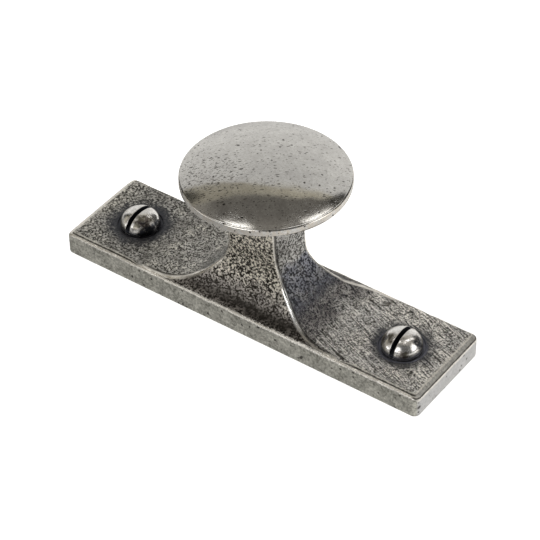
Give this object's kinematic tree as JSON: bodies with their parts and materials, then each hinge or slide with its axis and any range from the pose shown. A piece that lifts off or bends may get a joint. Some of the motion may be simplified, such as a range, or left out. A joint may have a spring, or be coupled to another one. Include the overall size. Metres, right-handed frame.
{
  "type": "cabinet knob on a rectangular backplate",
  "caption": "One-piece cast cabinet knob: domed round grip on a square concave neck that sweeps into a rectangular backplate, fixed with slotted round-head screws.",
  "frame": {"origin": "centre of the plate's back face, where it meets the cabinet", "axes": "+Z out of the cabinet along the grip's axis, +X along the plate's length"},
  "size_m": [0.076, 0.03, 0.047],
  "materials": {
    "casting": "antiqued pewter colour: burnished grip and edges, pitted dark patina on the neck and plate",
    "screw_steel": "polished head, dark patina in the slot"
  },
  "bodies": {
    "root": {"knob_casting": "casting", "screw_left": "screw_steel", "screw_right": "screw_steel"}
  },
  "joints": []
}
